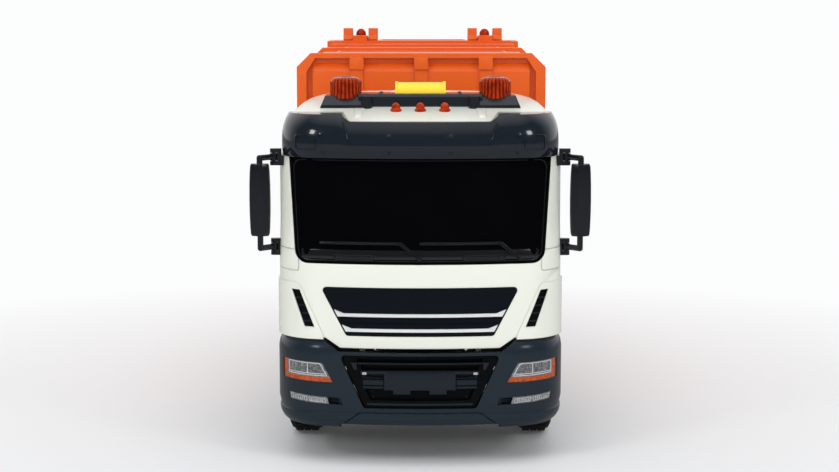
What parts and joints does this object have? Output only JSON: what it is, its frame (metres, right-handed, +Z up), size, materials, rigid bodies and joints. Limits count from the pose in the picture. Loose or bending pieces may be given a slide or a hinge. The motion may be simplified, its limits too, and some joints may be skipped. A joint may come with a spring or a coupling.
{
  "type": "toy garbage truck",
  "caption": "Moulded toy garbage truck: tilting cab with doors and folding mirrors, ribbed body with push plate, lifting rear hopper with bin lift, steered front wheels.",
  "frame": {"origin": "on the floor under the middle of the truck's bounding box", "axes": "+Z up, +Y from the cab to the tailgate, +X across to the truck's side that is on the right when the cab is seen from the front"},
  "size_m": [0.184, 0.63, 0.227],
  "materials": {
    "cab_white": "satin",
    "slate_plastic": "satin",
    "visor_black": "gloss",
    "black_plastic": "satin",
    "orange_plastic": "satin",
    "tyre_black": "matte",
    "rim_grey": "satin",
    "tinted_glass": "gloss",
    "clear_lens": "gloss",
    "amber_lens": "gloss",
    "red_lens": "gloss",
    "chrome_strip": "polished",
    "button_yellow": "satin",
    "interior_grey": "matte"
  },
  "bodies": {
    "chassis": {"chassis_frame": "black_plastic", "engine_block": "rim_grey", "front_axle": "black_plastic", "rear_axles": "black_plastic", "side_tanks": "slate_plastic", "side_guards": "black_plastic", "front_mudguards": "black_plastic", "rear_mudguards": "black_plastic", "bumper": "slate_plastic", "bumper_grille": "slate_plastic", "headlights": "clear_lens", "indicators": "amber_lens", "body_shell": "orange_plastic"},
    "tie_rod": {"track_rod": "black_plastic"},
    "cab": {"cab_shell": "cab_white", "mirror_brackets": "black_plastic", "windscreen": "tinted_glass", "visor": "visor_black", "light_bar": "visor_black", "roof_lamps": "amber_lens", "push_button": "button_yellow", "front_grille": "slate_plastic", "grille_chrome": "chrome_strip", "corner_vents": "black_plastic", "wipers": "black_plastic", "dashboard": "interior_grey", "seats": "interior_grey"},
    "ejector": {"push_plate": "orange_plastic"},
    "tailgate": {"tailgate_shell": "orange_plastic", "rear_beacons": "amber_lens", "tail_lamps": "red_lens"},
    "packer": {"packer_blade": "slate_plastic"},
    "bin_lifter": {"bin_lift": "slate_plastic"},
    "left_steering": {"knuckle_left": "black_plastic"},
    "left_door": {"door_left": "cab_white", "door_glass_left": "tinted_glass"},
    "left_mirror": {"mirror_left": "visor_black"},
    "left_step": {"rider_step_left": "black_plastic"},
    "left_front_wheel": {"tyre_front_left": "tyre_black", "rim_front_left": "rim_grey"},
    "left_middle_wheel": {"tyre_middle_left": "tyre_black", "rim_middle_left": "rim_grey"},
    "left_rear_wheel": {"tyre_rear_left": "tyre_black", "rim_rear_left": "rim_grey"},
    "right_steering": {"knuckle_right": "black_plastic"},
    "right_door": {"door_right": "cab_white", "door_glass_right": "tinted_glass"},
    "right_mirror": {"mirror_right": "visor_black"},
    "right_step": {"rider_step_right": "black_plastic"},
    "right_front_wheel": {"tyre_front_right": "tyre_black", "rim_front_right": "rim_grey"},
    "right_middle_wheel": {"tyre_middle_right": "tyre_black", "rim_middle_right": "rim_grey"},
    "right_rear_wheel": {"tyre_rear_right": "tyre_black", "rim_rear_right": "rim_grey"}
  },
  "joints": [
    {"name": "steer_left", "type": "hinge", "parent": "chassis", "child": "left_steering", "pos_m": [-0.05, -0.227, 0.031], "axis": [0, 0, 1], "range_deg": [-15, 15]},
    {"name": "steer_right", "type": "hinge", "parent": "chassis", "child": "right_steering", "pos_m": [0.05, -0.227, 0.031], "axis": [0, 0, 1], "range_deg": [-15, 15]},
    {"name": "tie_rod_pin", "type": "hinge", "parent": "left_steering", "child": "tie_rod", "pos_m": [-0.05, -0.214, 0.0283], "axis": [0, 0, 1], "range_deg": [-15, 15]},
    {"name": "roll_front_left", "type": "hinge", "parent": "left_steering", "child": "left_front_wheel", "pos_m": [-0.0655, -0.227, 0.031], "axis": [1, 0, 0], "continuous": true},
    {"name": "roll_middle_left", "type": "hinge", "parent": "chassis", "child": "left_middle_wheel", "pos_m": [-0.05625, 0.029, 0.031], "axis": [1, 0, 0], "continuous": true},
    {"name": "roll_rear_left", "type": "hinge", "parent": "chassis", "child": "left_rear_wheel", "pos_m": [-0.05625, 0.111, 0.031], "axis": [1, 0, 0], "continuous": true},
    {"name": "roll_front_right", "type": "hinge", "parent": "right_steering", "child": "right_front_wheel", "pos_m": [0.0655, -0.227, 0.031], "axis": [1, 0, 0], "continuous": true},
    {"name": "roll_middle_right", "type": "hinge", "parent": "chassis", "child": "right_middle_wheel", "pos_m": [0.05625, 0.029, 0.031], "axis": [1, 0, 0], "continuous": true},
    {"name": "roll_rear_right", "type": "hinge", "parent": "chassis", "child": "right_rear_wheel", "pos_m": [0.05625, 0.111, 0.031], "axis": [1, 0, 0], "continuous": true},
    {"name": "cab_tilt", "type": "hinge", "parent": "chassis", "child": "cab", "pos_m": [0, -0.301, 0.038], "axis": [1, 0, 0], "range_deg": [0, 45]},
    {"name": "door_left_swing", "type": "hinge", "parent": "cab", "child": "left_door", "pos_m": [-0.0753, -0.2756, 0.117], "axis": [0, 0, 1], "range_deg": [0, 65]},
    {"name": "mirror_left_fold", "type": "hinge", "parent": "cab", "child": "left_mirror", "pos_m": [-0.0794, -0.2814, 0.14], "axis": [0, 0, 1], "range_deg": [-70, 15]},
    {"name": "door_right_swing", "type": "hinge", "parent": "cab", "child": "right_door", "pos_m": [0.0753, -0.2756, 0.117], "axis": [0, 0, -1], "range_deg": [0, 65]},
    {"name": "mirror_right_fold", "type": "hinge", "parent": "cab", "child": "right_mirror", "pos_m": [0.0794, -0.2814, 0.14], "axis": [0, 0, -1], "range_deg": [-70, 15]},
    {"name": "ejector_slide", "type": "slide", "parent": "chassis", "child": "ejector", "axis": [0, 1, 0], "range_m": [0, 0.255]},
    {"name": "tailgate_lift", "type": "hinge", "parent": "chassis", "child": "tailgate", "pos_m": [0, 0.141, 0.2186], "axis": [1, 0, 0], "range_deg": [0, 80]},
    {"name": "packer_swing", "type": "hinge", "parent": "tailgate", "child": "packer", "pos_m": [0, 0.191, 0.17], "axis": [1, 0, 0], "range_deg": [0, 50]},
    {"name": "bin_lift_swing", "type": "hinge", "parent": "tailgate", "child": "bin_lifter", "pos_m": [0, 0.294, 0.084], "axis": [1, 0, 0], "range_deg": [0, 130]},
    {"name": "step_left_fold", "type": "hinge", "parent": "tailgate", "child": "left_step", "pos_m": [-0.0615, 0.2953, 0.0368], "axis": [1, 0, 0], "range_deg": [0, 85]},
    {"name": "step_right_fold", "type": "hinge", "parent": "tailgate", "child": "right_step", "pos_m": [0.0615, 0.2953, 0.0368], "axis": [1, 0, 0], "range_deg": [0, 85]}
  ],
  "couplings": [
    {"joint": "steer_right", "follows": "steer_left", "ratio": 1},
    {"joint": "tie_rod_pin", "follows": "steer_left", "ratio": -1}
  ]
}
